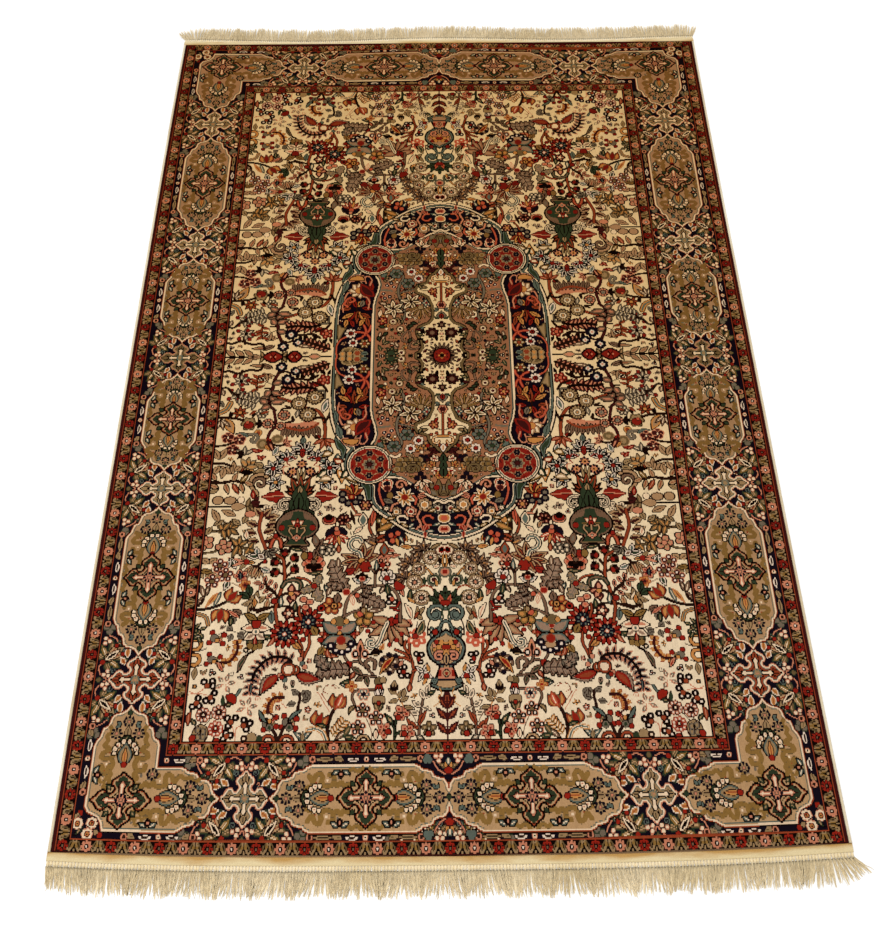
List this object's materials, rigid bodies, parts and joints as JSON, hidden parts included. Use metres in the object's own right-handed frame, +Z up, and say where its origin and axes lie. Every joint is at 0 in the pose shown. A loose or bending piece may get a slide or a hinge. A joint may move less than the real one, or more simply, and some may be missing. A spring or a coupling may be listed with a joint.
{
  "type": "silk rug",
  "caption": "Hand-knotted silk rug lying flat: a patterned pile sheet with overcast side edges, flat-woven end bands and loose fringes, to cover part of a floor.",
  "frame": {"origin": "centre of the whole rug's bounding box, on the floor plane under it", "axes": "+X across the rug, to the right seen from its front end; +Y along the rug, from the front end to the back end; +Z up, out of the pile"},
  "size_m": [1.2556, 2.0124, 0.005],
  "materials": {
    "silk_pile": "dense cut silk pile with a soft sheen, in ivory, tan, olive, rust, rose, dark green and navy",
    "flat_weave": "matt plain weave in undyed silk, tinted gold in places",
    "warp_ends": "loose cream yarn ends, slightly shiny",
    "edge_cord": "pale overcast thread"
  },
  "bodies": {
    "root": {"pile": "silk_pile", "kilim_front": "flat_weave", "kilim_back": "flat_weave", "fringe_front": "warp_ends", "fringe_back": "warp_ends", "selvedge_left": "edge_cord", "selvedge_right": "edge_cord"}
  },
  "joints": []
}
